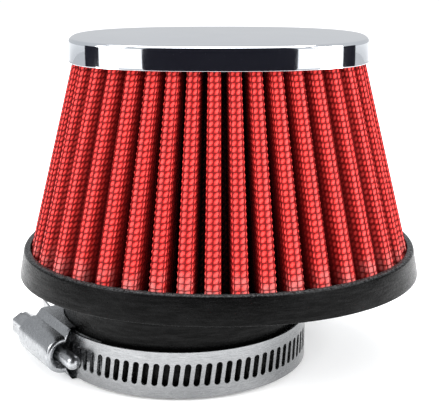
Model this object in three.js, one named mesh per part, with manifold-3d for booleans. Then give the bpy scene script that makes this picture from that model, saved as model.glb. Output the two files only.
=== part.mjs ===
// Clamp-on motorcycle air filter: an oval, tapered, pleated gauze filter with a
// pressed chrome end cap, a moulded rubber base with an offset neck, and a
// worm-drive hose clamp round the neck. Millimetres, +Z from the neck to the cap.
// The origin is on the neck's axis, in the plane of the neck's open end.

import * as THREE from 'three';
import { mergeVertices } from 'three/addons/utils/BufferGeometryUtils.js';
import Module from 'manifold-3d';

const wasm = await Module();
wasm.setup();

// ---------------------------------------------------------------- dimensions

const GAP = 0.3; // clearance between neighbouring pieces

const BODY_X = 10.5; // the body's centre line, measured from the neck's axis
const OUTLINE_STEPS = 72; // corners round each moulded or pressed outline

const NECK_BORE = 30; // radii
const NECK_OUTER = 34;

const RIM = { bottom: 26.3, top: 34, a: 56.3, b: 50.6, power: 2.1 };
const RIM_FLARE = 1.2; // the rim's side leans out by this towards its lower edge
const RIM_EDGE = 1; // size of the rim's rounded edges
const CHANNEL_MOUTH = 0.4; // the channel's wall stops this far below the rim's top
const NECK_FILLET = { drop: 3, reach: 3.5 }; // where the neck runs into the flange
const NECK_CHAMFER = { height: 0.6, depth: 0.5 }; // at the neck's open end
// A rounded edge, as shares of its height and of its depth.
const EDGE_CURVE = [[0, 1], [0.3, 0.3], [1, 0]];
const CHANNEL_FLOOR = 31; // the pleats stand in a channel moulded in the rim
const INNER_DAM = 33.5; // top of the rubber between the bore and the channel

const CAP = { bottom: 85.5, top: 92.1, a: 41, b: 24.8, power: 2.5, wall: 0.7, edge: 1 };
const CAP_FLAT = 4; // ring on the cap's inside face, this far inside its edge
const PLUG = { bottom: 86.5, a: 31.2, b: 14.4 }; // adhesive inside the ring of pleats

const PLEATS = 38;
const PLEAT_PHASE = -0.21; // shift of the first pleat from the front, in pleats
const PLEAT_FOOT = {
  z: 31.3, a: 53.6, b: 48.4, power: 2.1,
  depth: 10, tip: 2.1, valley: 0.6, bunching: 0.16,
};
const PLEAT_HEAD = {
  z: 88.9, a: 39.15, b: 22.35, power: 2.5,
  depth: 6, tip: 1.7, valley: 0.25, bunching: 0.02,
};
const TIP_ROUND = 1; // how far a fold's shoulders drop behind its crest
// Each layer's two skins, as distances inside the pack's outer skin. Only the outer
// screen has rounded crests; behind it they are flat.
const LAYERS = {
  outer_wire_mesh: { skins: [0, 0.25], rounded: true },
  cotton_gauze: { skins: [0.45, 0.85], rounded: false },
  inner_wire_mesh: { skins: [1.05, 1.3], rounded: false },
};
const PACK_DEPTH = LAYERS.inner_wire_mesh.skins[1];

const SEAM = { fold: 19.5, half: 1.2, thick: 0.5, clear: 0.07 };

const BAND = { bottom: 1, width: 12.7, thick: 0.65 };
const BAND_MIDDLE = BAND.bottom + BAND.width / 2;
const BAND_INNER = NECK_OUTER + GAP; // inner radius of the first layer
const BAND_LAP = BAND_INNER + BAND.thick + GAP; // and of the layer that laps over it
// Slots: their pitch in degrees, and how many lie between the worm and the tail's end.
const SLOT = { step: 4.47, length: 6.4, width: 1.65, lean: 8, count: 60, tail: 7 };

// Azimuths are in degrees, from the front (-Y) towards +X.
const HOUSING_AZIMUTH = -59;
const SADDLE = { from: -73, to: -37 };
const BAND_START = -78.5; // the hoop's inner end
const BAND_TURN = 381; // and how far it winds back round to its tail
const LAP_RAMP = [120, 290]; // where along the hoop it climbs to the lapping radius
const TAIL_LEAVES = 349; // beyond this the tail runs off straight

const SCREW = {
  radius: 38.5, root: 2.35, crest: 3.1, crestHalf: 0.35, flank: 0.35,
  pilot: 2.05, thread: [-15.3, 0.7], tip: 10,
  collar: 3.6, collarThick: 1.2, hexAcross: 7, hexHeight: 8.2, slot: 1.3, slotDepth: 2,
};
const HOUSING = {
  back: -18.3, front: 2.5, foot: 29, half: 7.25, wall: 0.65,
  shoulder: [36.4, 38.1], tunnel: 5.3, endWall: 0.7, pilotGap: 0.5,
};

const STEEL_ROUND_STEPS = 24;
const HOOP_STEPS = 126;
const OVERCUT = 1; // how far a cutting or joining body runs past the surface it works on

// ------------------------------------------------------------------- helpers

const rad = THREE.MathUtils.degToRad;

// A closed solid from its corners and triangles, turned so that it faces out.
function solid(points, triangles) {
  const geometry = new THREE.BufferGeometry();
  geometry.setAttribute('position', new THREE.Float32BufferAttribute(points.flat(), 3));
  let volume = 0;
  const [a, b, c] = [new THREE.Vector3(), new THREE.Vector3(), new THREE.Vector3()];
  for (const [i, j, k] of triangles) {
    volume += a.fromArray(points[i]).dot(b.fromArray(points[j]).cross(c.fromArray(points[k])));
  }
  const facing = volume > 0 ? triangles : triangles.map(([i, j, k]) => [i, k, j]);
  geometry.setIndex(facing.flat());
  return geometry;
}

// Skins a list of rings that have equal numbers of corners. The list closes on
// itself, unless both ends are closed by a fan to the ring's centre. Every strip
// has its diagonals the same way up, so that thin walls keep their thickness.
function loft(rings, fanEnds = false) {
  const count = rings[0].length;
  const points = rings.flat();
  const triangles = [];
  const spans = fanEnds ? rings.length - 1 : rings.length;
  for (let r = 0; r < spans; r++) {
    const lower = r * count;
    const upper = ((r + 1) % rings.length) * count;
    const falls = points[upper][2] < points[lower][2];
    for (let i = 0; i < count; i++) {
      const j = (i + 1) % count;
      const [p, q] = falls ? [j, i] : [i, j];
      triangles.push([lower + i, lower + j, upper + q], [lower + p, upper + j, upper + i]);
    }
  }
  if (fanEnds) {
    for (const [first, flip] of [[0, true], [(rings.length - 1) * count, false]]) {
      const ring = points.slice(first, first + count);
      const centre = [0, 1, 2].map((k) => ring.reduce((sum, p) => sum + p[k], 0) / count);
      points.push(centre);
      for (let i = 0; i < count; i++) {
        const j = (i + 1) % count;
        const [p, q] = flip ? [j, i] : [i, j];
        triangles.push([first + p, first + q, points.length - 1]);
      }
    }
  }
  return solid(points, triangles);
}

// An oval between an ellipse (power 2) and a rectangle, from the front towards +X.
class Oval extends THREE.Curve {
  constructor(a, b, power) {
    super();
    Object.assign(this, { a, b, power, arcLengthDivisions: 1440 });
  }

  getPoint(t, target = new THREE.Vector3()) {
    const [s, c] = [Math.sin(2 * Math.PI * t), Math.cos(2 * Math.PI * t)];
    const r = (Math.abs(s) ** this.power + Math.abs(c) ** this.power) ** (-1 / this.power);
    return target.set(this.a * r * s, -this.b * r * c, 0);
  }
}

function ovalRing(z, a, b, power, centre = BODY_X) {
  const oval = new Oval(a, b, power);
  return Array.from({ length: OUTLINE_STEPS }, (_, i) => {
    const p = oval.getPoint(i / OUTLINE_STEPS);
    return [p.x + centre, p.y, z];
  });
}

const roundRing = (z, radius) => ovalRing(z, radius, radius, 2, 0);

function toManifold(geometry) {
  const bare = geometry.clone();
  bare.deleteAttribute('normal');
  bare.deleteAttribute('uv');
  const merged = mergeVertices(bare, 1e-4);
  return new wasm.Manifold(new wasm.Mesh({
    numProp: 3,
    vertProperties: new Float32Array(merged.attributes.position.array),
    triVerts: new Uint32Array(merged.index.array),
  }));
}

function toGeometry(manifold) {
  const mesh = manifold.getMesh();
  const geometry = new THREE.BufferGeometry();
  geometry.setAttribute('position', new THREE.BufferAttribute(mesh.vertProperties, 3));
  geometry.setIndex(new THREE.BufferAttribute(mesh.triVerts, 1));
  return geometry;
}

function namedMesh(name, geometry, color, roughness, metalness) {
  geometry.computeVertexNormals();
  const material = new THREE.MeshStandardMaterial({ color, roughness, metalness });
  const mesh = new THREE.Mesh(geometry, material);
  mesh.name = name;
  return mesh;
}

// ----------------------------------------------------------------- end cap

function chromeCap() {
  const { bottom, top, a, b, power, wall, edge } = CAP;
  const ring = (z, inset) => ovalRing(z, a - inset, b - inset, power);
  const roundedEdge = [0, 30, 60, 90].map((degrees) => [
    top - edge * (1 - Math.sin(rad(degrees))),
    edge * (1 - Math.cos(rad(degrees))),
  ]);
  return loft([
    ring(top - wall, CAP_FLAT),
    ring(top - wall, edge),
    ring(top - edge, wall),
    ring(bottom, wall),
    ring(bottom, 0),
    ...roundedEdge.map(([z, inset]) => ring(z, inset)),
  ], true);
}

// The adhesive bed that bonds the pleats inside the cap, with a plug that
// reaches down inside the ring of pleats.
function capPotting() {
  const top = CAP.top - CAP.wall - GAP;
  const underside = PLEAT_HEAD.z + GAP;
  const rim = (z) => ovalRing(z, CAP.a - CAP.edge - GAP, CAP.b - CAP.edge - GAP, CAP.power);
  const plug = (z) => ovalRing(z, PLUG.a, PLUG.b, CAP.power);
  return loft([plug(PLUG.bottom), plug(underside), rim(underside), rim(top)], true);
}

// ------------------------------------------------------------- pleated media

// The two ovals that the pleats' crests and folds lie on at one height.
function pleatOvals({ a, b, power, depth }) {
  return { crests: new Oval(a, b, power), folds: new Oval(a - depth, b - depth, power) };
}

// Where a crest or fold, counted in pleats from the front, stands on its oval.
function pleatFrame(oval, pleat, bunching) {
  const even = (pleat + PLEAT_PHASE) / PLEATS;
  const s = even - bunching * Math.sin(4 * Math.PI * even) / (4 * Math.PI);
  const u = THREE.MathUtils.euclideanModulo(s, 1);
  const tangent = oval.getTangentAt(u);
  return { at: oval.getPointAt(u), tangent, out: new THREE.Vector3(tangent.y, -tangent.x, 0) };
}

function pleatCorner({ at, tangent, out }, along, outward, z) {
  const p = at.clone().addScaledVector(tangent, along).addScaledVector(out, outward);
  return [p.x + BODY_X, p.y, z];
}

// One zigzag outline of the pleat pack, `inset` millimetres inside its outer skin.
function pleatRing(level, inset, rounded) {
  const { crests, folds } = pleatOvals(level);
  const tip = level.tip - inset;
  const valley = level.valley + inset;
  const ring = [];
  for (let k = 0; k < PLEATS; k++) {
    const crest = pleatFrame(crests, k, level.bunching);
    ring.push(pleatCorner(crest, -tip, -inset - TIP_ROUND, level.z));
    if (rounded) {
      ring.push(pleatCorner(crest, -tip / 2, -inset, level.z));
      ring.push(pleatCorner(crest, tip / 2, -inset, level.z));
    }
    ring.push(pleatCorner(crest, tip, -inset - TIP_ROUND, level.z));
    const fold = pleatFrame(folds, k + 0.5, level.bunching);
    ring.push(pleatCorner(fold, -valley, -inset, level.z));
    ring.push(pleatCorner(fold, valley, -inset, level.z));
  }
  return ring;
}

function pleatLayer({ skins: [outer, inner], rounded }) {
  return loft([
    pleatRing(PLEAT_FOOT, outer, rounded),
    pleatRing(PLEAT_HEAD, outer, rounded),
    pleatRing(PLEAT_HEAD, inner, rounded),
    pleatRing(PLEAT_FOOT, inner, rounded),
  ]);
}

// The flat strip that joins the two ends of the pleated pack, inside a rear fold.
function seamStrip() {
  const { fold, half, thick, clear } = SEAM;
  const near = -PACK_DEPTH - GAP;
  const section = (level) => {
    const frame = pleatFrame(pleatOvals(level).folds, fold, level.bunching);
    return [[-half, near], [half, near], [half, near - thick], [-half, near - thick]]
      .map(([along, outward]) => pleatCorner(frame, along, outward, level.z));
  };
  const [foot, head] = [section(PLEAT_FOOT), section(PLEAT_HEAD)];
  const between = (t) => foot.map((p, i) => p.map((v, k) => v + (head[i][k] - v) * t));
  return loft([between(clear), between(1 - clear)], true);
}

// --------------------------------------------------------------- rubber base

// Rim, flange and neck are one moulding. The rings run up the bore, over the
// channel and the rim, down its side and back along the neck's outside.
function rubberBase() {
  const rim = (z, inset) => ovalRing(z, RIM.a - inset, RIM.b - inset, RIM.power);
  const slope = (key) => (PLEAT_FOOT[key] - PLEAT_HEAD[key]) / (PLEAT_HEAD.z - PLEAT_FOOT.z);
  const channelWall = (z) => {
    const rise = z - PLEAT_FOOT.z;
    const a = PLEAT_FOOT.a + GAP - slope('a') * rise;
    const b = PLEAT_FOOT.b + GAP - slope('b') * rise;
    return ovalRing(z, a, b, RIM.power);
  };
  const inside = PLEAT_FOOT.depth + PACK_DEPTH + 3 * GAP;
  const dam = (z) => ovalRing(z, PLEAT_FOOT.a - inside, PLEAT_FOOT.b - inside, RIM.power);
  return loft([
    roundRing(0, NECK_BORE + NECK_CHAMFER.depth),
    roundRing(NECK_CHAMFER.height, NECK_BORE),
    roundRing(INNER_DAM, NECK_BORE),
    dam(INNER_DAM),
    dam(CHANNEL_FLOOR),
    channelWall(CHANNEL_FLOOR),
    channelWall(RIM.top - CHANNEL_MOUTH),
    ...EDGE_CURVE.map(([drop, inset]) => (
      rim(RIM.top - RIM_EDGE * drop, RIM_FLARE + RIM_EDGE * inset)
    )),
    ...EDGE_CURVE.toReversed().map(([rise, inset]) => (
      rim(RIM.bottom + RIM_EDGE * rise, RIM_EDGE * inset)
    )),
    ...EDGE_CURVE.map(([drop, reach]) => (
      roundRing(RIM.bottom - NECK_FILLET.drop * drop, NECK_OUTER + NECK_FILLET.reach * reach)
    )),
    roundRing(NECK_CHAMFER.height, NECK_OUTER),
    roundRing(0, NECK_OUTER - NECK_CHAMFER.depth),
  ]);
}

// ---------------------------------------------------------------- hose clamp

// Inner radius of the hoop, `turn` degrees along it from its inner end.
function hoopRadius(turn) {
  const climb = THREE.MathUtils.smoothstep(turn, ...LAP_RAMP);
  const round = BAND_INNER + (BAND_LAP - BAND_INNER) * climb;
  return round / Math.cos(rad(Math.max(0, turn - TAIL_LEAVES)));
}

function hoopPoint(turn, lift) {
  const azimuth = rad(BAND_START - turn);
  const radius = hoopRadius(turn) + lift;
  return new THREE.Vector2(radius * Math.sin(azimuth), -radius * Math.cos(azimuth));
}

function stripFromShape(shape) {
  const geometry = new THREE.ExtrudeGeometry(shape, {
    depth: BAND.width, bevelEnabled: false, curveSegments: STEEL_ROUND_STEPS,
  });
  return geometry.translate(0, 0, BAND.bottom);
}

function slotCutter() {
  const shape = new THREE.Shape();
  const [radius, straight] = [SLOT.width / 2, (SLOT.length - SLOT.width) / 2];
  shape.absarc(0, straight, radius, 0, Math.PI);
  shape.absarc(0, -straight, radius, Math.PI, 2 * Math.PI);
  const depth = 6 * BAND.thick;
  const geometry = new THREE.ExtrudeGeometry(shape, {
    depth, bevelEnabled: false, curveSegments: 2,
  });
  // Length up Z, lean as the worm's thread needs, cut along the radius, +X.
  return geometry.translate(0, 0, -depth / 2).rotateZ(-rad(SLOT.lean)).rotateX(Math.PI / 2)
    .rotateZ(Math.PI / 2);
}

function clampBand() {
  const turns = Array.from({ length: HOOP_STEPS + 1 }, (_, i) => BAND_TURN * i / HOOP_STEPS);
  const outline = [
    ...turns.map((turn) => hoopPoint(turn, BAND.thick)),
    ...turns.map((turn) => hoopPoint(turn, 0)).reverse(),
  ];
  let band = toManifold(stripFromShape(new THREE.Shape(outline)));
  const cutter = toManifold(slotCutter());
  for (let i = -SLOT.tail; i < SLOT.count - SLOT.tail; i++) {
    const azimuth = HOUSING_AZIMUTH + i * SLOT.step;
    const turn = BAND_START - (azimuth - 360);
    const at = hoopPoint(turn, BAND.thick / 2);
    const placed = cutter.rotate([0, 0, azimuth - 90]).translate([at.x, at.y, BAND_MIDDLE]);
    band = band.subtract(placed);
  }
  return toGeometry(band);
}

// The fixed strap under the worm, whose tongue runs on below the lapping band.
function clampSaddle() {
  const [from, to] = [rad(SADDLE.from - 90), rad(SADDLE.to - 90)];
  const shape = new THREE.Shape();
  shape.absarc(0, 0, BAND_INNER + BAND.thick, from, to, false);
  shape.absarc(0, 0, BAND_INNER, to, from, true);
  return stripFromShape(shape);
}

// The housing and the screw are drawn with +X away from the neck's axis and +Y
// along the screw, towards its tip.

function housingProfile(inset) {
  const { foot, half, shoulder, tunnel } = HOUSING;
  const edge = half - inset;
  const radius = tunnel - inset;
  const points = [[foot, edge], [shoulder[0] - inset / 2, edge],
    [shoulder[1] - inset / 2, radius]];
  const arcSteps = STEEL_ROUND_STEPS / 2;
  const arc = Array.from({ length: arcSteps + 1 }, (_, i) => Math.PI * (0.5 - i / arcSteps));
  points.push(...arc.map((t) => [
    SCREW.radius + radius * Math.cos(t), radius * Math.sin(t),
  ]));
  points.push(...points.slice(0, 3).reverse().map(([x, z]) => [x, -z]));
  return points;
}

// Extrudes an outline in X and Z along +Y.
function alongScrew(points, from, to) {
  const shape = new THREE.Shape(points.map(([x, z]) => new THREE.Vector2(x, -z)));
  const geometry = new THREE.ExtrudeGeometry(shape, { depth: to - from, bevelEnabled: false });
  return toManifold(geometry.rotateX(-Math.PI / 2).translate(0, from, BAND_MIDDLE));
}

function roundAlongScrew(radius, from, to, steps = STEEL_ROUND_STEPS) {
  const cylinder = new THREE.CylinderGeometry(radius, radius, to - from, steps);
  return toManifold(cylinder.translate(SCREW.radius, (from + to) / 2, BAND_MIDDLE));
}

function neckCutter(radius) {
  const height = 2 * (BAND_MIDDLE + HOUSING.half + OVERCUT);
  const cylinder = new THREE.CylinderGeometry(radius, radius, height, 4 * STEEL_ROUND_STEPS);
  return toManifold(cylinder.rotateX(Math.PI / 2));
}

function clampHousing() {
  const { back, front, wall, endWall, pilotGap } = HOUSING;
  const shell = alongScrew(housingProfile(0), back, front);
  const hollow = alongScrew(housingProfile(wall), back - OVERCUT, front - endWall);
  const overBand = BAND_LAP + BAND.thick + GAP;
  const mouth = alongScrew(
    housingProfile(wall).map(([x, z]) => [Math.min(x, overBand), z]),
    front - endWall - OVERCUT,
    front + OVERCUT,
  );
  const pilotHole = roundAlongScrew(
    SCREW.pilot + pilotGap, front - endWall - OVERCUT, front + OVERCUT,
  );
  return toGeometry(shell.subtract(hollow).subtract(mouth).subtract(pilotHole)
    .subtract(neckCutter(BAND_INNER)));
}

// A right-hand thread round the Y axis, closed at its ends by fans to the axis.
function wormThread(lead, from, to) {
  const { root, crest, crestHalf, flank } = SCREW;
  const profile = [[-crestHalf - flank, root], [-crestHalf, crest],
    [crestHalf, crest], [crestHalf + flank, root]];
  const around = 20;
  const firstTurn = Math.floor(from / lead) - 2;
  const lastTurn = Math.ceil(to / lead) + 2;
  const rows = [];
  for (let turn = firstTurn; turn <= lastTurn; turn++) {
    for (const [offset, radius] of profile) rows.push([turn * lead + offset, radius]);
  }
  const points = [];
  for (const [start, radius] of rows) {
    for (let j = 0; j < around; j++) {
      const angle = 2 * Math.PI * j / around;
      points.push([
        -radius * Math.cos(angle), start - lead * j / around, -radius * Math.sin(angle),
      ]);
    }
  }
  // After one turn a row has moved back by a lead, onto the row a whole profile earlier.
  const at = (row, j) => (j < around ? row * around + j : (row - profile.length) * around);
  const triangles = [];
  const first = profile.length;
  const last = rows.length - 1;
  for (let row = first; row < last; row++) {
    for (let j = 0; j < around; j++) {
      const quad = [at(row, j), at(row, j + 1), at(row + 1, j + 1), at(row + 1, j)];
      triangles.push([quad[0], quad[1], quad[2]], [quad[0], quad[2], quad[3]]);
    }
  }
  const closeEnd = (row, flip) => {
    const loop = [];
    for (let j = 0; j < around; j++) loop.push(at(row, j));
    for (let r = row - profile.length; r < row; r++) loop.push(r * around);
    points.push([0, rows[row][0] - lead / 2, 0]);
    loop.forEach((vertex, i) => {
      const next = loop[(i + 1) % loop.length];
      const pair = flip ? [next, vertex] : [vertex, next];
      triangles.push([...pair, points.length - 1]);
    });
  };
  closeEnd(first, true);
  closeEnd(last, false);
  return solid(points, triangles).translate(SCREW.radius, 0, BAND_MIDDLE);
}

function clampScrew() {
  const { root, crest, pilot, thread, tip, collar, collarThick } = SCREW;
  const { hexAcross, hexHeight, slot, slotDepth } = SCREW;
  const lead = (BAND_LAP + BAND.thick / 2) * rad(SLOT.step);
  const collarTop = HOUSING.back - GAP;
  const worm = toManifold(wormThread(lead, ...thread))
    .intersect(roundAlongScrew(crest + OVERCUT, ...thread));
  const hexFrom = collarTop - collarThick - hexHeight;
  const hex = roundAlongScrew(hexAcross / Math.sqrt(3), hexFrom, collarTop - collarThick / 2, 6);
  const dome = new THREE.SphereGeometry(pilot, 20, 10);
  const slotBox = new THREE.BoxGeometry(slot, 2 * slotDepth, 2 * hexAcross);
  return toGeometry(worm
    .add(roundAlongScrew(root, collarTop - collarThick / 2, thread[0] + OVERCUT))
    .add(roundAlongScrew(pilot, thread[1] - OVERCUT, tip - pilot, 20))
    .add(toManifold(dome.translate(SCREW.radius, tip - pilot, BAND_MIDDLE)))
    .add(roundAlongScrew(collar, collarTop - collarThick, collarTop))
    .add(hex)
    .subtract(toManifold(slotBox.translate(SCREW.radius, hexFrom, BAND_MIDDLE))));
}

// ------------------------------------------------------------------ assembly

const group = new THREE.Group();
group.add(
  namedMesh('chrome_cap', chromeCap(), 0xd7dbdf, 0.08, 1),
  namedMesh('cap_potting', capPotting(), 0x1c1c1e, 0.7, 0),
  namedMesh('outer_wire_mesh', pleatLayer(LAYERS.outer_wire_mesh), 0xe0302a, 0.45, 0.1),
  namedMesh('cotton_gauze', pleatLayer(LAYERS.cotton_gauze), 0xb8201f, 0.95, 0),
  namedMesh('inner_wire_mesh', pleatLayer(LAYERS.inner_wire_mesh), 0xa8aaad, 0.4, 0.9),
  namedMesh('seam_strip', seamStrip(), 0xb4b6b8, 0.4, 0.9),
  namedMesh('rubber_base', rubberBase(), 0x1b1c1e, 0.55, 0),
);

const clamp = new THREE.Group();
clamp.add(
  namedMesh('clamp_band', clampBand(), 0xb9bbbd, 0.32, 1),
  namedMesh('clamp_saddle', clampSaddle(), 0xb9bbbd, 0.32, 1),
);
const clampHead = new THREE.Group();
clampHead.rotation.z = rad(HOUSING_AZIMUTH - 90);
clampHead.add(
  namedMesh('clamp_housing', clampHousing(), 0xaeb0b2, 0.3, 1),
  namedMesh('clamp_screw', clampScrew(), 0xa6a8aa, 0.3, 1),
);
clamp.add(clampHead);
group.add(clamp);

export default group;
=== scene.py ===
import math

import bmesh
import bpy
import numpy as np
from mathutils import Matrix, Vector


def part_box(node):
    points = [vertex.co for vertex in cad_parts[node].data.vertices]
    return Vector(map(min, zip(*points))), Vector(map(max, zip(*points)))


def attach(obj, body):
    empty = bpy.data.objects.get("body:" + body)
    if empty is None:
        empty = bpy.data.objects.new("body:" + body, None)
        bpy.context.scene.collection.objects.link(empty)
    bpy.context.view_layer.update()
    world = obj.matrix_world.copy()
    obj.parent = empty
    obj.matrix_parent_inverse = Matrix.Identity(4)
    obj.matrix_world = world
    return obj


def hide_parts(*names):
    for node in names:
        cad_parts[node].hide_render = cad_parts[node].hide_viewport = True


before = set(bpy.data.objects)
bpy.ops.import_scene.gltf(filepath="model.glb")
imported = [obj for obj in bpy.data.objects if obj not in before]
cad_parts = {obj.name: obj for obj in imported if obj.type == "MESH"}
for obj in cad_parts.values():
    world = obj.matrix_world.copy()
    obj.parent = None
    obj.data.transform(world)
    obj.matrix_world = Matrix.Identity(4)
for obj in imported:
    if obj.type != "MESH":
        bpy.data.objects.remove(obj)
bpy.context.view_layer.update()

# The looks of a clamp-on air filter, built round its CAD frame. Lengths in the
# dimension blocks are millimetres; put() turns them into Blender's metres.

MM = 0.001
GAP = 0.3  # between neighbouring pieces


def extents(node):
    """A CAD node's lowest and highest corners, in millimetres."""
    low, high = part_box(node)
    return low / MM, high / MM


# ---------------------------------------------------------------- dimensions

cap_low, cap_high = extents("chrome_cap")
base_low, base_high = extents("rubber_base")
media_low, media_high = extents("outer_wire_mesh")
band_low, band_high = extents("clamp_band")

BODY_X = (cap_low.x + cap_high.x) / 2
CAP = {"a": (cap_high.x - cap_low.x) / 2, "b": (cap_high.y - cap_low.y) / 2, "power": 2.5,
       "bottom": cap_low.z, "top": cap_high.z, "wall": 0.7, "edge": 1, "lip": 0.45}
RIM = {"a": (base_high.x - base_low.x) / 2, "b": (base_high.y - base_low.y) / 2,
       "power": 2.1, "bottom": 26.3, "top": base_high.z, "flare": 1.2}
NECK = {"bore": 30, "outer": 34}
OUTLINE_STEPS = 288

PLEATS = 38
PLEAT_PHASE = -0.21
PLEAT_FOOT = {"z": media_low.z, "a": 53.6, "b": 48.4, "power": 2.1,
              "depth": 10, "tip": 2.1, "valley": 0.6, "bunching": 0.16}
PLEAT_HEAD = {"z": media_high.z, "a": 39.15, "b": 22.35, "power": 2.5,
              "depth": 6, "tip": 1.7, "valley": 0.25, "bunching": 0.02}
TIP_ROUND = 1
CELLS = {"tip": 3, "flank": 6, "valley": 1, "rows": 38}
CELL_STEPS = 2  # surface steps across one cell of the screen
WIRE = {"radius": 0.11, "inset": 0.17}
CLOTH = {"groove": 0.32, "puff": 0.28}

BAND = {"bottom": band_low.z, "width": band_high.z - band_low.z, "thick": 0.65}
BAND_MIDDLE = BAND["bottom"] + BAND["width"] / 2
BAND_INNER = NECK["outer"] + GAP
BAND_LAP = BAND_INNER + BAND["thick"] + GAP
BAND_START = -78.5
BAND_TURN = 381
LAP_RAMP = (120, 290)
TAIL_LEAVES = 349
SLOT = {"step": 4.47, "length": 6.4, "width": 1.65, "lean": 8, "count": 60, "tail": 7}
HOUSING_AZIMUTH = -59
SADDLE = {"from": -73, "to": -37}

SCREW = {"radius": 38.5, "root": 2.35, "crest": 3.1, "crest_half": 0.35, "flank": 0.35,
         "pilot": 2.05, "thread": (-15.3, 0.7), "tip": 10, "collar": 3.6, "collar_thick": 1.2,
         "hex_across": 7, "hex_height": 8.2, "slot": 1.3, "slot_depth": 2}
HOUSING = {"back": -18.3, "front": 2.5, "half": 7.25, "wall": 0.65,
           "shoulder": (36.4, 38.1), "tunnel": 5.3}
COLLAR_TOP = HOUSING["back"] - GAP
HEXAGON_FROM = COLLAR_TOP - SCREW["collar_thick"] - SCREW["hex_height"]


# ------------------------------------------------------------ making objects

def put(name, points, faces, material, body, slot, replaces=(), crease=35):
    """Makes one piece from points in millimetres, smooth but for edges past `crease`."""
    mesh = bpy.data.meshes.new(name)
    points = np.asarray(points, float) * MM
    mesh.from_pydata(points.tolist(), [], faces)
    mesh.validate()
    mesh.update()
    mesh.shade_smooth()
    mesh.set_sharp_from_angle(angle=math.radians(crease))
    mesh.materials.append(material)
    piece = bpy.data.objects.new(name, mesh)
    bpy.context.scene.collection.objects.link(piece)
    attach(piece, body)
    if replaces:
        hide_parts(*replaces)
    return piece


def loft(rings, closed=False):
    """Points and faces that skin a list of equal rings. It closes on itself or with end faces."""
    rings = np.asarray(rings, float)
    rows, count = rings.shape[:2]
    faces = []
    for r in range(rows if closed else rows - 1):
        low, up = r * count, (r + 1) % rows * count
        for i in range(count):
            j = (i + 1) % count
            faces.append((low + i, low + j, up + j, up + i))
    if not closed:
        faces.append(tuple(range(count))[::-1])
        faces.append(tuple(range((rows - 1) * count, rows * count)))
    return rings.reshape(-1, 3), faces


class Oval:
    """An oval between an ellipse (power 2) and a rectangle, read by share of its length."""

    def __init__(self, a, b, power, samples=1440):
        self.turn = np.linspace(0, 1, samples + 1)
        s, c = np.sin(2 * np.pi * self.turn), np.cos(2 * np.pi * self.turn)
        r = (np.abs(s) ** power + np.abs(c) ** power) ** (-1 / power)
        self.line = np.stack([a * r * s, -b * r * c], axis=1)
        steps = np.linalg.norm(np.diff(self.line, axis=0), axis=1)
        self.along = np.concatenate([[0], np.cumsum(steps)]) / steps.sum()

    def at(self, share):
        share = share % 1.0
        return np.array([np.interp(share, self.along, self.line[:, k]) for k in (0, 1)])

    def frame(self, share, step=5e-4):
        tangent = self.at(share + step) - self.at(share - step)
        tangent /= np.linalg.norm(tangent)
        return self.at(share), tangent, np.array([tangent[1], -tangent[0]])


def oval_ring(z, a, b, power, centre=None, steps=OUTLINE_STEPS):
    centre = BODY_X if centre is None else centre
    turn = np.linspace(0, 2 * np.pi, steps, endpoint=False)
    s, c = np.sin(turn), np.cos(turn)
    r = (np.abs(s) ** power + np.abs(c) ** power) ** (-1 / power)
    return np.stack([centre + a * r * s, -b * r * c, np.full(steps, float(z))], axis=1)


def round_ring(z, radius):
    return oval_ring(z, radius, radius, 2, centre=0)


def rounded(start, end, steps=6):
    """Shares of a quarter turn, for rounding an edge."""
    return [math.radians(v) for v in np.linspace(start, end, steps)]


# ----------------------------------------------------------------- materials

class Nodes:
    """A small helper that builds one node material."""

    def __init__(self, name):
        self.material = bpy.data.materials.new(name)
        self.material.use_nodes = True
        self.tree = self.material.node_tree
        self.shader = self.tree.nodes["Principled BSDF"]

    def add(self, kind, **inputs):
        node = self.tree.nodes.new("ShaderNode" + kind)
        for key, value in inputs.items():
            self.feed(node, key.replace("_", " "), value)
        return node

    def feed(self, node, key, value):
        socket = node.inputs[int(key)] if key.isdigit() else node.inputs[key]
        if isinstance(value, bpy.types.NodeSocket):
            self.tree.links.new(value, socket)
        else:
            socket.default_value = value

    def set(self, **inputs):
        for key, value in inputs.items():
            self.feed(self.shader, key.replace("_", " "), value)
        return self

    def place(self):
        return self.add("TexCoord").outputs["Object"]

    def noise(self, scale, detail=4, roughness=0.55, stretch=(1, 1, 1)):
        mapping = self.add("Mapping", Vector=self.place(), Scale=stretch)
        node = self.add("TexNoise", Vector=mapping.outputs[0], Scale=scale, Detail=detail,
                        Roughness=roughness)
        return node.outputs["Fac"]

    def spread(self, value, low, high, to_low=0.0, to_high=1.0):
        node = self.add("MapRange", Value=value)
        node.inputs["From Min"].default_value = low
        node.inputs["From Max"].default_value = high
        node.inputs["To Min"].default_value = to_low
        node.inputs["To Max"].default_value = to_high
        return node.outputs["Result"]

    def mix(self, share, first, second):
        node = self.add("Mix")
        node.data_type = "RGBA"
        self.feed(node, "0", share)
        for index, value in ((6, first), (7, second)):
            self.feed(node, str(index), value)
        return node.outputs[2]

    def maths(self, operation, first, second):
        node = self.add("Math")
        node.operation = operation
        self.feed(node, "0", first)
        self.feed(node, "1", second)
        return node.outputs[0]

    def bump(self, height, distance, strength=1.0):
        node = self.add("Bump", Height=height, Distance=distance, Strength=strength)
        self.set(Normal=node.outputs[0])
        return self

    def attribute(self, name):
        node = self.add("Attribute")
        node.attribute_name = name
        return node.outputs["Fac"]

    def axis(self, name):
        split = self.add("SeparateXYZ", Vector=self.place())
        return split.outputs[name]


def colour(red, green, blue):
    """A display colour, 0 to 255, as the linear colour that a shader takes."""
    def linear(v):
        v /= 255
        return v / 12.92 if v <= 0.04045 else ((v + 0.055) / 1.055) ** 2.4
    return (linear(red), linear(green), linear(blue), 1.0)


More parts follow.
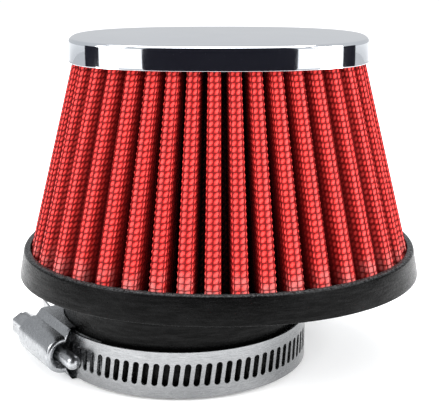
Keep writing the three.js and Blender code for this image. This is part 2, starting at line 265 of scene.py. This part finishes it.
def chrome_material():
    n = Nodes("chrome")
    haze = n.noise(900, 5, stretch=(1, 1, 0.15))
    tint = n.mix(n.spread(n.noise(35), 0.35, 0.7), colour(226, 229, 233), colour(214, 218, 223))
    n.set(Base_Color=tint, Metallic=1.0, Roughness=n.spread(haze, 0.3, 0.75, 0.035, 0.085))
    n.bump(n.noise(60, 2), 0.00002, 0.25)
    return n.material


def cloth_material():
    """Oiled red gauze: bright on the crests with a painted highlight in the middle of each puff,
    darkened by painted shade in the folds and in the grooves under the wires, pale where it meets
    the base.
    """
    n = Nodes("oiled_gauze")
    depth = n.attribute("fold_depth")
    groove = n.attribute("groove")
    thread = n.noise(2600, 3, 0.7)
    blotch = n.noise(120, 4)
    crest = n.mix(n.spread(blotch, 0.35, 0.7), colour(214, 34, 32), colour(196, 24, 24))
    # Painted highlight: the middle of each puff is mixed towards pale pink.
    crest = n.mix(n.spread(groove, 0.1, 0.8, 0.45, 0), crest,
                  colour(255, 92, 84))
    crest = n.mix(n.spread(thread, 0.45, 0.8, 0, 0.25), crest, colour(255, 124, 114))
    # Painted shade: the cloth darkens towards the bottom of each fold.
    fold_shade = n.mix(n.spread(depth, 0.02, 0.4), crest, colour(92, 6, 8))
    fold_shade = n.mix(n.spread(depth, 0.3, 0.8), fold_shade, colour(22, 2, 4))
    # Painted shade: the grooves under the wires are darkened.
    groove_shade = n.mix(n.spread(groove, 0.6, 1.0, 0, 0.75), fold_shade, colour(84, 6, 8))
    near_base = n.spread(n.axis("Z"), 0.0345, 0.039, 0.6, 0)
    dust = n.maths("MULTIPLY", near_base, n.spread(n.noise(300, 3), 0.35, 0.6))
    pale = n.maths("MULTIPLY", dust, n.spread(depth, 0.1, 0.35, 1, 0))
    n.set(Base_Color=n.mix(pale, groove_shade, colour(196, 122, 118)),
          Roughness=n.spread(thread, 0.3, 0.8, 0.42, 0.65), Specular_IOR_Level=0.2)
    n.bump(thread, 0.00006, 0.5)
    return n.material


def screen_material():
    """Red coated wire, darkened by painted shade towards the bottom of each fold."""
    n = Nodes("coated_wire")
    depth = n.attribute("fold_depth")
    wear = n.noise(700, 4)
    coat = n.mix(n.spread(wear, 0.4, 0.75), colour(122, 12, 13), colour(88, 7, 8))
    # Painted shade: the wire darkens towards the bottom of each fold.
    shaded = n.mix(n.spread(depth, 0.2, 0.8), coat, colour(24, 3, 4))
    n.set(Base_Color=shaded, Roughness=n.spread(wear, 0.3, 0.7, 0.5, 0.65),
          Specular_IOR_Level=0.12)
    n.bump(n.noise(3000, 2), 0.00002, 0.4)
    return n.material


def rubber_material():
    """Moulded rubber: porous on the upward ledge, smooth with faint specks on its sides."""
    n = Nodes("moulded_rubber")
    geometry = n.add("NewGeometry")
    up = n.add("SeparateXYZ", Vector=geometry.outputs["Normal"])
    ledge = n.spread(up.outputs["Z"], 0.45, 0.9)
    grain = n.noise(1500, 6, 0.7)
    pores = n.add("TexVoronoi", Vector=n.place(), Scale=900.0)
    pits = n.spread(pores.outputs["Distance"], 0.0, 0.28, 1, 0)
    fleck = n.spread(n.noise(2400, 2, 0.8), 0.66, 0.74)
    streak = n.noise(160, 6, 0.75, stretch=(1, 1, 9))
    tone = n.mix(n.spread(n.noise(70, 4), 0.35, 0.65), colour(4, 4, 4), colour(7, 7, 7))
    tone = n.mix(n.spread(streak, 0.5, 0.8, 0, 0.4), tone, colour(15, 15, 16))
    tone = n.mix(n.maths("MULTIPLY", ledge, n.spread(grain, 0.4, 0.7)), tone, colour(70, 72, 73))
    tone = n.mix(n.maths("MULTIPLY", fleck, n.spread(ledge, 0, 1, 0.015, 0.6)), tone,
                 colour(170, 172, 172))
    tone = n.mix(n.maths("MULTIPLY", pits, n.spread(ledge, 0, 1, 0.0, 0.7)), tone,
                 colour(8, 8, 9))
    n.set(Base_Color=tone, Roughness=n.spread(grain, 0.3, 0.75, 0.2, 0.34),
          Specular_IOR_Level=n.spread(streak, 0.4, 0.8, 0.05, 0.15))
    n.bump(n.maths("SUBTRACT", grain, n.maths("MULTIPLY", pits, ledge)), 0.00018, 0.45)
    return n.material


def steel_material(name, light, dark, rough, stretch, strength=0.25):
    """Drawn or pressed steel, with its brushing along one direction."""
    n = Nodes(name)
    brushed = n.noise(420, 6, 0.7, stretch)
    patch = n.noise(55, 3)
    tone = n.mix(n.spread(brushed, 0.3, 0.72), light, dark)
    tone = n.mix(n.spread(patch, 0.45, 0.7, 0, 0.35), tone, dark)
    n.set(Base_Color=tone, Metallic=1.0)
    n.set(Roughness=n.spread(brushed, 0.3, 0.75, rough - 0.07, rough + 0.09))
    n.bump(brushed, 0.00003, strength)
    return n.material


def potting_material():
    n = Nodes("cast_adhesive")
    ripple = n.noise(200, 4)
    n.set(Base_Color=n.mix(n.spread(ripple, 0.35, 0.7), colour(30, 30, 32), colour(46, 46, 48)),
          Roughness=n.spread(ripple, 0.3, 0.7, 0.5, 0.75))
    n.bump(ripple, 0.0002, 0.5)
    return n.material


# ------------------------------------------------------------------- end cap

def end_cap():
    """Pressed cap: a flat face, a rounded edge, a straight skirt and a rolled lip."""
    a, b, power, wall, edge, lip = (CAP[k] for k in ("a", "b", "power", "wall", "edge", "lip"))
    skirt, crown = 0.16, 0.12
    under_flat, top_flat = 20, 21  # how far in the flat faces begin

    def ring(z, inset):
        return oval_ring(z, a - inset, b - inset, power)

    rings = [ring(CAP["top"] - wall, under_flat), ring(CAP["top"] - wall, edge),
             ring(CAP["top"] - edge, wall + skirt), ring(CAP["bottom"] + lip, wall + skirt)]
    for t in rounded(180, 360, 9):
        rings.append(ring(CAP["bottom"] + lip / 2 * (1 + math.sin(t)),
                          (wall + skirt) / 2 * (1 - math.cos(t))))
    rings.append(ring(CAP["bottom"] + lip + 0.25, skirt))
    for t in rounded(0, 90, 9):
        rings.append(ring(CAP["top"] - crown - edge * (1 - math.sin(t)),
                          skirt + edge * (1 - math.cos(t))))
    for inset in (3, 6, 10, 14, 18, top_flat):
        share = (inset - edge) / (top_flat - edge)
        rings.append(ring(CAP["top"] - crown * (1 - share) ** 2, inset))
    return loft(rings)


# ------------------------------------------------------------- pleated media

def pleat_frame(oval, pleat, bunching):
    even = (pleat + PLEAT_PHASE) / PLEATS
    return oval.frame(even - bunching * math.sin(4 * math.pi * even) / (4 * math.pi))


def pleat_line(level, steps_per_cell):
    """One zigzag outline at a level: its points and how deep in the fold each lies, 0 to 1."""
    crests = Oval(level["a"], level["b"], level["power"])
    folds = Oval(level["a"] - level["depth"], level["b"] - level["depth"], level["power"])
    tip, valley = level["tip"], level["valley"]
    points, depths = [], []

    def corner(where, along, lift):
        at, tangent, out = where
        return at + tangent * along + out * lift

    def tip_point(where, share):
        half_arc = math.radians(86)
        angle = half_arc * (2 * share - 1)
        return corner(where, tip * math.sin(angle) / math.sin(half_arc),
                      -TIP_ROUND * (1 - math.cos(angle)))

    def valley_point(where, share):
        angle = math.radians(80) * (2 * share - 1)
        return corner(where, valley * math.sin(angle), valley * (1 - math.cos(angle)))

    for k in range(PLEATS):
        crest = pleat_frame(crests, k, level["bunching"])
        fold = pleat_frame(folds, k + 0.5, level["bunching"])
        following = pleat_frame(crests, k + 1, level["bunching"])
        parts = [
            (CELLS["tip"], lambda s: tip_point(crest, s), lambda s: 0.0),
            (CELLS["flank"], lambda s: tip_point(crest, 1) * (1 - s) + valley_point(fold, 0) * s,
             lambda s: s),
            (CELLS["valley"], lambda s: valley_point(fold, s), lambda s: 1.0),
            (CELLS["flank"],
             lambda s: valley_point(fold, 1) * (1 - s) + tip_point(following, 0) * s,
             lambda s: 1 - s),
        ]
        for cells, place, depth in parts:
            for i in range(cells * steps_per_cell):
                share = i / (cells * steps_per_cell)
                points.append(place(share))
                depths.append(depth(share))
    return np.array(points), np.array(depths)


def outline_length(level):
    """The length of cloth that one zigzag outline takes."""
    line, _ = pleat_line(level, 1)
    return np.linalg.norm(np.roll(line, -1, axis=0) - line, axis=1).sum()


def outward(line):
    """Unit normals of a closed outline that runs anticlockwise seen from above."""
    tangent = np.roll(line, -1, axis=0) - np.roll(line, 1, axis=0)
    tangent /= np.linalg.norm(tangent, axis=1)[:, None]
    return np.stack([tangent[:, 1], -tangent[:, 0]], axis=1)


def media_surface(steps_per_cell, rows, inset):
    """A grid over the pleats, `inset` inside their outer skin: points, normals and depths."""
    foot, depths = pleat_line(PLEAT_FOOT, steps_per_cell)
    head, _ = pleat_line(PLEAT_HEAD, steps_per_cell)
    grid, normals = [], []
    for share in np.linspace(0, 1, rows + 1):
        line = foot * (1 - share) + head * share
        normal = outward(line)
        z = PLEAT_FOOT["z"] + (PLEAT_HEAD["z"] - PLEAT_FOOT["z"]) * share
        flat = line - normal * inset
        grid.append(np.column_stack([flat[:, 0] + BODY_X, flat[:, 1], np.full(len(flat), z)]))
        normals.append(np.column_stack([normal, np.zeros(len(flat))]))
    return np.array(grid), np.array(normals), depths


def point_values(piece, name, values):
    attribute = piece.data.attributes.new(name, "FLOAT", "POINT")
    attribute.data.foreach_set("value", np.asarray(values, np.float32))


def gauze(material):
    """The gauze, which puffs out a little through every cell of the wire screen.

    Upright wires stand half a cell along from each fold's corner, so one runs up every crest.
    """
    rows = CELLS["rows"] * CELL_STEPS
    grid, normals, depths = media_surface(CELL_STEPS, rows, CLOTH["groove"])
    count = grid.shape[1]
    column_free = (np.arange(count) % CELL_STEPS != CELL_STEPS // 2).astype(float)
    row_free = (np.arange(rows + 1) % CELL_STEPS != 0).astype(float)
    puff = row_free[:, None] * column_free[None, :]
    grid = grid + normals * (CLOTH["puff"] * puff)[:, :, None]
    faces = []
    for r in range(rows):
        low, up = r * count, (r + 1) * count
        for i in range(count):
            j = (i + 1) % count
            faces.append((low + i, low + j, up + j, up + i))
    piece = put("gauze_pleats", grid.reshape(-1, 3), faces, material, "filter", "gauze",
                ["cotton_gauze"], crease=180)
    point_values(piece, "fold_depth", np.tile(depths, rows + 1))
    point_values(piece, "groove", (1 - puff).ravel())
    foot, head = (outline_length(level) for level in (PLEAT_FOOT, PLEAT_HEAD))


def wires(name, runs, closed, material, replaces=()):
    """Four-sided wires along `runs`: lists of (point, across, out, fold depth)."""
    radius = WIRE["radius"]
    points, faces, depth_of = [], [], []
    for run in runs:
        first = len(points)
        for p, across, out, depth in run:
            for u, v in ((1, 0), (0, 1), (-1, 0), (0, -1)):
                points.append(p + radius * (u * across + v * out))
                depth_of.append(depth)
        for k in range(len(run) if closed else len(run) - 1):
            low, up = first + 4 * k, first + 4 * ((k + 1) % len(run))
            for i in range(4):
                j = (i + 1) % 4
                faces.append((low + i, low + j, up + j, up + i))
        if not closed:
            faces.append(tuple(first + i for i in (3, 2, 1, 0)))
            faces.append(tuple(first + 4 * (len(run) - 1) + i for i in range(4)))
    piece = put(name, points, faces, material, "filter", "red_mesh", replaces, crease=180)
    point_values(piece, "fold_depth", depth_of)


def wire_screen(material):
    """The woven screen: upright wires up the pleats and crosswise wires round them."""
    grid, normals, depths = media_surface(CELL_STEPS, CELLS["rows"], WIRE["inset"])
    wired = slice(CELL_STEPS // 2, None, CELL_STEPS)
    grid, normals, depths = grid[:, wired], normals[:, wired], depths[wired]
    rows, count = grid.shape[:2]
    up = np.array([0, 0, 1.0])
    upright = [[(grid[r, i], np.cross(up, normals[r, i]), normals[r, i], depths[i])
                for r in range(rows)] for i in range(count)]
    crosswise = [[(grid[r, i], up, normals[r, i], depths[i]) for i in range(count)]
                 for r in range(1, rows - 1)]
    wires("upright_wires", upright, False, material, ["outer_wire_mesh"])
    wires("crosswise_wires", crosswise, True, material)


# --------------------------------------------------------------- rubber base

def moulded_base():
    """Rim, flange and neck in one moulding, with its edges rounded."""
    def rim(z, inset):
        return oval_ring(z, RIM["a"] - inset, RIM["b"] - inset, RIM["power"])

    def slope(key):
        rise = PLEAT_HEAD["z"] - PLEAT_FOOT["z"]
        return (PLEAT_FOOT[key] - PLEAT_HEAD[key]) / rise

    def channel(z):
        rise = z - PLEAT_FOOT["z"]
        return oval_ring(z, PLEAT_FOOT["a"] + GAP - slope("a") * rise,
                         PLEAT_FOOT["b"] + GAP - slope("b") * rise, RIM["power"])

    inside = PLEAT_FOOT["depth"] + 2.2
    floor, dam_top = 31, 33.5
    flare, edge = RIM["flare"], 0.9
    under, fillet, foot_edge = 0.4, 3, 0.5
    rings = [round_ring(0, NECK["bore"] + 0.5), round_ring(0.6, NECK["bore"]),
             round_ring(dam_top, NECK["bore"])]
    for z in (dam_top, floor):
        rings.append(oval_ring(z, PLEAT_FOOT["a"] - inside, PLEAT_FOOT["b"] - inside,
                               RIM["power"]))
    rings += [channel(floor), channel(RIM["top"] - 0.4), channel(RIM["top"] - 0.1)]
    for t in rounded(90, 0, 7):
        rings.append(rim(RIM["top"] - edge * (1 - math.sin(t)),
                         flare + edge * (1 - math.cos(t))))
    for t in rounded(0, -90, 7):
        rings.append(rim(RIM["bottom"] + under * (1 + math.sin(t)), under * (1 - math.cos(t))))
    for t in rounded(90, 180, 9):
        rings.append(round_ring(RIM["bottom"] - 0.05 - fillet * (1 - math.sin(t)),
                                NECK["outer"] + fillet * (1 + math.cos(t))))
    for t in rounded(0, -90, 5):
        rings.append(round_ring(foot_edge * (1 + math.sin(t)),
                                NECK["outer"] - foot_edge * (1 - math.cos(t))))
    return loft(rings, closed=True)


# ---------------------------------------------------------------- hose clamp

def smooth_step(value, low, high):
    x = min(1, max(0, (value - low) / (high - low)))
    return x * x * (3 - 2 * x)


def hoop_radius(turn):
    """Inner radius of the hoop, `turn` degrees along it from its inner end."""
    radius = BAND_INNER + (BAND_LAP - BAND_INNER) * smooth_step(turn, *LAP_RAMP)
    return radius / math.cos(math.radians(max(0, turn - TAIL_LEAVES)))


def hoop_point(turn, lift, z):
    azimuth = math.radians(BAND_START - turn)
    radius = hoop_radius(turn) + lift
    return (radius * math.sin(azimuth), -radius * math.cos(azimuth), z)


def slot_cell(straight_steps=3):
    """A stadium-shaped slot and the edge of the cell round it, corner for corner.

    Both are lists of (degrees along the band, height from its middle).
    """
    per_degree = math.radians(1) * (BAND_LAP + BAND["thick"] / 2)
    radius, reach = SLOT["width"] / 2, (SLOT["length"] - SLOT["width"]) / 2
    lean = math.radians(SLOT["lean"])
    half, tall = SLOT["step"] * per_degree / 2, BAND["width"] / 2
    middle = (reach + tall) / 2
    over = [(half, reach), (half, middle), (half, tall), (half / 2, tall), (0, tall),
            (-half / 2, tall), (-half, tall), (-half, middle), (-half, reach)]
    slot, border = [], []
    for end in (1, -1):
        for k, (x, y) in enumerate(over):
            t = math.pi * k / (len(over) - 1)
            slot.append((end * radius * math.cos(t), end * (reach + radius * math.sin(t))))
            border.append((end * x, end * y))
        for share in np.linspace(0, 1, straight_steps + 2)[1:-1]:
            height = end * reach * (1 - 2 * share)
            slot.append((-end * radius, height))
            border.append((-end * half, height))
    leaning = [(x * math.cos(lean) + y * math.sin(lean),
                y * math.cos(lean) - x * math.sin(lean)) for x, y in slot]
    return ([(x / per_degree, y) for x, y in leaning],
            [(x / per_degree, y) for x, y in border])


def slotted_band():
    """The band: a strip with a round-ended slot in each cell."""
    slot, border = slot_cell()
    count = len(slot)
    slots_from = BAND_START + 360 - (HOUSING_AZIMUTH + (SLOT["count"] - 1 - SLOT["tail"])
                                     * SLOT["step"])
    points, faces = [], []
    inner, outer = 0.0, BAND["thick"]
    lip_wide, lip_tall = 1.12, 1.015  # the lip round a slot, as shares of the slot

    def add(turn, lift, height):
        points.append(hoop_point(turn, lift, BAND_MIDDLE + height))
        return len(points) - 1

    tall = BAND["width"] / 2
    first_edge = slots_from - SLOT["step"] / 2
    last_edge = first_edge + SLOT["count"] * SLOT["step"]
    for c in range(SLOT["count"]):
        middle = slots_from + c * SLOT["step"]
        mouth_out = [add(middle - x, outer, y) for x, y in slot]
        lip_out = [add(middle - x * lip_wide, outer, y * lip_tall) for x, y in slot]
        edge_out = [add(middle - x, outer, y) for x, y in border]
        mouth_in = [add(middle - x, inner, y) for x, y in slot]
        edge_in = [add(middle - x, inner, y) for x, y in border]
        for i in range(count):
            j = (i + 1) % count
            faces.append((mouth_out[i], mouth_out[j], lip_out[j], lip_out[i]))
            faces.append((lip_out[i], lip_out[j], edge_out[j], edge_out[i]))
            faces.append((mouth_in[j], mouth_in[i], edge_in[i], edge_in[j]))
            faces.append((mouth_in[i], mouth_in[j], mouth_out[j], mouth_out[i]))
            on_edge = [abs(abs(border[k][1]) - tall) < 1e-6 for k in (i, j)]
            if all(on_edge) and border[i][1] * border[j][1] > 0:
                faces.append((edge_in[i], edge_in[j], edge_out[j], edge_out[i]))
    heights = sorted({round(y, 5) for _, y in border})
    for start, end in ((0, first_edge), (last_edge, BAND_TURN)):
        steps = max(2, int((end - start) / 2.5))
        layers = []
        for lift in (outer, inner):
            rows = [[add(t, lift, y) for y in heights] for t in np.linspace(start, end, steps)]
            layers.append(rows)
            for lower, upper in zip(rows, rows[1:]):
                for i in range(len(heights) - 1):
                    quad = (lower[i], lower[i + 1], upper[i + 1], upper[i])
                    faces.append(quad if lift == outer else quad[::-1])
        over, under = layers
        for k in range(steps - 1):
            for i in (0, -1):
                faces.append((over[k][i], over[k + 1][i], under[k + 1][i], under[k][i]))
        free_end = 0 if start == 0 else -1
        for i in range(len(heights) - 1):
            faces.append((over[free_end][i], over[free_end][i + 1],
                          under[free_end][i + 1], under[free_end][i]))
    return points, faces


def weld_and_face_out(piece, distance=1e-6):
    """Joins doubled corners, and turns every face outwards."""
    work = bmesh.new()
    work.from_mesh(piece.data)
    bmesh.ops.remove_doubles(work, verts=work.verts, dist=distance)
    bmesh.ops.recalc_face_normals(work, faces=work.faces)
    work.to_mesh(piece.data)
    work.free()
    piece.data.shade_smooth()
    piece.data.set_sharp_from_angle(angle=math.radians(35))


def saddle_strap():
    """The fixed strap under the worm: a short curved strip with rounded edges."""
    bevel = 0.15
    low, high = BAND["bottom"], BAND["bottom"] + BAND["width"]
    inner, outer = BAND_INNER, BAND_INNER + BAND["thick"]
    section = [(inner, low), (outer - bevel, low), (outer, low + bevel), (outer, high - bevel),
               (outer - bevel, high), (inner, high)]
    rings = []
    for azimuth in np.linspace(SADDLE["from"], SADDLE["to"], 25):
        s, c = math.sin(math.radians(azimuth)), math.cos(math.radians(azimuth))
        rings.append([(r * s, -r * c, z) for r, z in section])
    return loft(rings)


def from_head_frame(points):
    """Turns points drawn with +X away from the neck and +Y along the screw into place."""
    turn = math.radians(HOUSING_AZIMUTH - 90)
    s, c = math.sin(turn), math.cos(turn)
    return [(x * c - y * s, x * s + y * c, z + BAND_MIDDLE) for x, y, z in points]


def housing_outline(y, inset, curl=0.0, arc_steps=24):
    """The housing's section at `y` along the screw: foot, side, shoulder, tunnel and back.

    `curl` draws the tunnel in towards the screw's axis, for the rolled rim at its front.
    """
    half, tunnel = HOUSING["half"] - inset, HOUSING["tunnel"] - inset
    low, high = (v - inset / 2 for v in HOUSING["shoulder"])
    foot = math.sqrt(BAND_INNER ** 2 - y ** 2)
    side = [(foot, half), ((foot + low) / 2, half), (low, half),
            (low + 0.35 * (high - low), half - 0.35 * (half - tunnel)),
            (high, tunnel)]
    arc = [(SCREW["radius"] + (tunnel - curl) * math.cos(t),
            (tunnel - curl) * math.sin(t))
           for t in np.linspace(math.pi / 2, -math.pi / 2, arc_steps)]
    return side[:-1] + [(high, tunnel - curl)] + arc + [(high, -(tunnel - curl))] + [
        (x, -z) for x, z in reversed(side[:-1])]


def housing_shell():
    """Pressed worm housing, with a rolled rim where the screw's tip comes out."""
    back, front, wall = HOUSING["back"], HOUSING["front"], HOUSING["wall"]
    roll = 1.1
    lip = [(back + 0.12, wall, 0.0), (back, wall / 2, 0.0), (back + 0.12, 0.02, 0.0)]
    along = np.linspace(back + 0.5, front - roll, 14)
    inside = along[:-2]
    rows = lip + [(y, 0.0, 0.0) for y in along]
    for t in rounded(0, 150, 9):
        rows.append((front - roll + roll * math.sin(t), 0.0, roll * (1 - math.cos(t))))
    rows.append((front - 1.15 * roll, 0.0, roll * 1.9))
    rows.append((front - 1.6 * roll, wall, roll * 1.2))
    rows += [(y, wall, 0.0) for y in inside[::-1]]
    rings = []
    for y, inset, curl in rows:
        rings.append(from_head_frame([(x, y, z) for x, z in housing_outline(y, inset, curl)]))
    count = len(rings[0])
    points = [p for ring in rings for p in ring]
    faces = []
    for r in range(len(rings)):
        low, up = r * count, (r + 1) % len(rings) * count
        for i in range(count - 1):
            faces.append((low + i, low + i + 1, up + i + 1, up + i))
    # Each foot follows the neck's curve, so it is closed by a strip and not by one face.
    first, paired, last = len(lip), len(inside), len(rings) - 1
    for i in (0, count - 1):
        for k in range(paired - 1):
            strip = (first + k, first + k + 1, last - k - 1, last - k)
            faces.append(tuple(r * count + i for r in strip))
        faces.append(tuple(r * count + i for r in (*range(first + 1), last)))
        front_rows = range(first + paired - 1, last - paired + 2)
        faces.append(tuple(r * count + i for r in front_rows))
    return points, faces


def lathe(profile, steps=48):
    """Turns (distance along the screw, radius) into a closed body round the screw's axis."""
    rings = []
    for y, radius in profile:
        rings.append([(SCREW["radius"] + radius * math.cos(t), y, radius * math.sin(t))
                      for t in np.linspace(0, 2 * math.pi, steps, endpoint=False)])
    return loft([from_head_frame(ring) for ring in rings])


def screw_shank():
    """Collar, shank, pilot and domed tip in one turned body."""
    collar, thick, root = SCREW["collar"], SCREW["collar_thick"], SCREW["root"]
    pilot, tip = SCREW["pilot"], SCREW["tip"]
    edge = 0.3
    profile = [(COLLAR_TOP - thick, 2.5), (COLLAR_TOP - thick, collar - edge)]
    profile += [(COLLAR_TOP - thick + edge * (1 - math.cos(t)), collar - edge * (1 - math.sin(t)))
                for t in rounded(0, 90, 4)]
    profile += [(COLLAR_TOP - edge * (1 - math.sin(t)), collar - edge * (1 - math.cos(t)))
                for t in rounded(0, 90, 4)]
    thread_end = SCREW["thread"][1]
    profile += [(COLLAR_TOP, root), (thread_end - 1, root), (thread_end - 0.2, pilot)]
    profile += [(tip - pilot + pilot * math.sin(t), pilot * math.cos(t) + 0.001)
                for t in rounded(0, 89, 10)]
    return lathe(profile)


def hexagon_head(steps_per_side=6):
    """The hexagon, its corners chamfered by a cone. cut_slot() cuts its square slot afterwards.
    """
    across = SCREW["hex_across"] / 2
    to_y = COLLAR_TOP - SCREW["collar_thick"] / 2
    levels = [(HEXAGON_FROM, 0.80), (HEXAGON_FROM + 0.05, 0.88), (HEXAGON_FROM + 0.9, 1.2),
              (to_y, 1.2)]
    rings = []
    for y, cone in levels:
        ring = []
        for k in range(6 * steps_per_side):
            t = 2 * math.pi * (k + 0.5) / (6 * steps_per_side)
            within = (t + math.pi / 6) % (math.pi / 3) - math.pi / 6
            radius = min(across / math.cos(within), across * cone)
            ring.append((SCREW["radius"] + radius * math.cos(t), y, radius * math.sin(t)))
        rings.append(from_head_frame(ring))
    return loft(rings)


def cut_slot(piece):
    """Cuts the screwdriver slot across the hexagon's face."""
    half, deep, wide = SCREW["slot"] / 2, SCREW["slot_depth"], 10
    rings = [from_head_frame([(SCREW["radius"] + x, y, z) for x, z in
                              ((-half, -wide), (half, -wide), (half, wide), (-half, wide))])
             for y in (HEXAGON_FROM - 1, HEXAGON_FROM + deep)]
    points, faces = loft(rings)
    mesh = bpy.data.meshes.new("slot_cutter")
    mesh.from_pydata((np.asarray(points) * MM).tolist(), [], faces)
    cutter = bpy.data.objects.new("slot_cutter", mesh)
    bpy.context.scene.collection.objects.link(cutter)
    weld_and_face_out(cutter)
    modifier = piece.modifiers.new("slot", "BOOLEAN")
    modifier.operation = "DIFFERENCE"
    modifier.object = cutter
    modifier.solver = "EXACT"
    graph = bpy.context.evaluated_depsgraph_get()
    piece.data = bpy.data.meshes.new_from_object(piece.evaluated_get(graph))
    piece.modifiers.clear()
    bpy.data.objects.remove(cutter)


def worm_thread(around=40):
    """The thread on the shank, as one closed helical ridge."""
    lead = (BAND_LAP + BAND["thick"] / 2) * math.radians(SLOT["step"])
    root, crest = SCREW["root"] - 0.1, SCREW["crest"]
    half, flank = SCREW["crest_half"], SCREW["flank"]
    start, end = SCREW["thread"]
    section = [(-half - flank, root), (-half, crest), (half, crest), (half + flank, root)]
    length = end - start - 2 * (half + flank)
    steps = int(around * length / lead)
    rings = []
    for k in range(steps + 1):
        share = k / steps
        angle = 2 * math.pi * length * share / lead
        rise = min(1, 8 * share, 8 * (1 - share))
        y = end - half - flank - length * share
        rings.append(from_head_frame([
            (SCREW["radius"] - (root + (r - root) * rise) * math.cos(angle), y + along,
             -(root + (r - root) * rise) * math.sin(angle)) for along, r in section]))
    return loft(rings)


# ------------------------------------------------------------ floor and light

def stage_floor():
    mesh = bpy.data.meshes.new("floor")
    half = 6.0
    mesh.from_pydata([(-half, -half, 0), (half, -half, 0), (half, half, 0), (-half, half, 0)],
                     [], [(0, 1, 2, 3)])
    n = Nodes("floor")
    tone = n.mix(n.spread(n.noise(3), 0.3, 0.7), (0.9, 0.9, 0.9, 1), (0.93, 0.93, 0.93, 1))
    n.set(Base_Color=tone, Roughness=0.7, Emission_Color=(1, 1, 1, 1), Emission_Strength=0.22)
    mesh.materials.append(n.material)
    floor = bpy.data.objects.new("floor", mesh)
    bpy.context.scene.collection.objects.link(floor)


def area_light(name, location, target, size, power):
    data = bpy.data.lights.new(name, "AREA")
    data.shape = "RECTANGLE"
    data.size, data.size_y = size
    data.energy = power
    light = bpy.data.objects.new(name, data)
    light.location = location
    light.rotation_euler = (Vector(target) - Vector(location)).to_track_quat("-Z", "Y").to_euler()
    light.visible_camera = False
    bpy.context.scene.collection.objects.link(light)


def screen(name, azimuths, low, high, material, radius=0.3):
    """A curved studio screen round the front, seen only as a reflection in polished parts."""
    steps = 24
    points = []
    for azimuth in np.linspace(*azimuths, steps + 1):
        t = math.radians(azimuth)
        x, y = BODY_X * MM + radius * math.sin(t), -radius * math.cos(t)
        points += [(x, y, z) for z in (low, high)]
    faces = [(2 * i, 2 * i + 2, 2 * i + 3, 2 * i + 1) for i in range(steps)]
    mesh = bpy.data.meshes.new(name)
    mesh.from_pydata(points, [], faces)
    mesh.materials.append(material)
    card = bpy.data.objects.new(name, mesh)
    card.visible_camera = False
    card.visible_diffuse = False
    card.visible_shadow = False
    bpy.context.scene.collection.objects.link(card)


def black_cloth():
    n = Nodes("black_cloth")
    n.set(Base_Color=n.mix(n.noise(8), (0.007, 0.007, 0.01, 1), (0.012, 0.012, 0.016, 1)),
          Roughness=0.9, Specular_IOR_Level=0.0)
    return n.material


def softbox_cloth():
    n = Nodes("softbox_cloth")
    white = n.mix(n.noise(6), (1, 1, 1, 1), (0.94, 0.96, 1, 1))
    n.set(Base_Color=(0, 0, 0, 1), Emission_Color=white, Emission_Strength=1.5)
    return n.material


def screens():
    """Dark cloth across the front, and at each side a softbox and then dark cloth again."""
    top = 0.16
    edges = {"left": (-30, -67, -89), "right": (31.5, 73, 95)}
    dark, bright = black_cloth(), softbox_cloth()
    screen("screen_middle", (edges["left"][0], edges["right"][0]), 0, 3 * top, dark)
    for side, (near, between, far) in edges.items():
        screen(f"softbox_{side}", (near, between), 0, top, bright)
        screen(f"screen_{side}", (between, far), 0, top, dark)


def lighting():
    world = bpy.data.worlds.new("studio")
    bpy.context.scene.world = world
    world.use_nodes = True
    background = world.node_tree.nodes["Background"]
    background.inputs["Color"].default_value = (0.95, 0.97, 1.0, 1)
    background.inputs["Strength"].default_value = 0.7
    middle = (0.01, 0, 0.05)
    area_light("side_left", (-0.66, -0.36, 0.42), middle, (0.35, 0.5), 6.2)
    area_light("side_right", (0.68, -0.34, 0.42), middle, (0.35, 0.5), 7.8)
    area_light("above", (0.0, 0.05, 0.9), middle, (0.7, 0.7), 10)


def camera():
    down = 0.260  # how far it looks down, in radians
    data = bpy.data.cameras.new("camera")
    data.sensor_width = 36
    data.lens = 95.294118
    view = bpy.data.objects.new("camera", data)
    view.location = (0.0111, -0.3209, 0.1281)
    view.rotation_euler = (math.pi / 2 - down, 0, 0)
    data.clip_start, data.clip_end = 0.01, 20
    bpy.context.scene.view_settings.view_transform = "Standard"
    bpy.context.scene.collection.objects.link(view)
    bpy.context.scene.camera = view


# ------------------------------------------------------------------ assembly

camera()
stage_floor()
lighting()
screens()

chrome = chrome_material()
band_steel = steel_material("brushed_band", colour(160, 161, 162), colour(120, 121, 123), 0.27,
                            (1, 1, 14))
housing_steel = steel_material("plated_housing", colour(176, 178, 180), colour(134, 136, 139),
                               0.26, (6, 2, 2), 0.12)
screw_steel = steel_material("plated_screw", colour(190, 192, 194), colour(140, 142, 145), 0.3,
                             (3, 3, 3))
bare_wire = steel_material("bare_wire", colour(176, 178, 181), colour(120, 122, 126), 0.4,
                           (1, 1, 6))

put("end_cap", *end_cap(), chrome, "filter", "chrome", ["chrome_cap"])
gauze(cloth_material())
wire_screen(screen_material())
put("moulded_base", *moulded_base(), rubber_material(), "filter", "rubber", ["rubber_base"])
band = put("slotted_band", *slotted_band(), band_steel, "band", "band_steel", ["clamp_band"])
put("saddle_strap", *saddle_strap(), band_steel, "clamp", "band_steel", ["clamp_saddle"])
housing = put("worm_housing", *housing_shell(), housing_steel, "clamp", "housing_steel",
              ["clamp_housing"])
shank = put("screw_shank", *screw_shank(), screw_steel, "screw", "screw_steel",
            ["clamp_screw"])
head = put("screw_head", *hexagon_head(), screw_steel, "screw", "screw_steel")
thread = put("screw_thread", *worm_thread(), screw_steel, "screw", "screw_steel")
for piece in (band, housing, shank, head, thread):
    weld_and_face_out(piece)
cut_slot(head)

for node, material in (("cap_potting", potting_material()), ("inner_wire_mesh", bare_wire),
                       ("seam_strip", bare_wire)):
    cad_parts[node].data.materials.clear()
    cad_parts[node].data.materials.append(material)
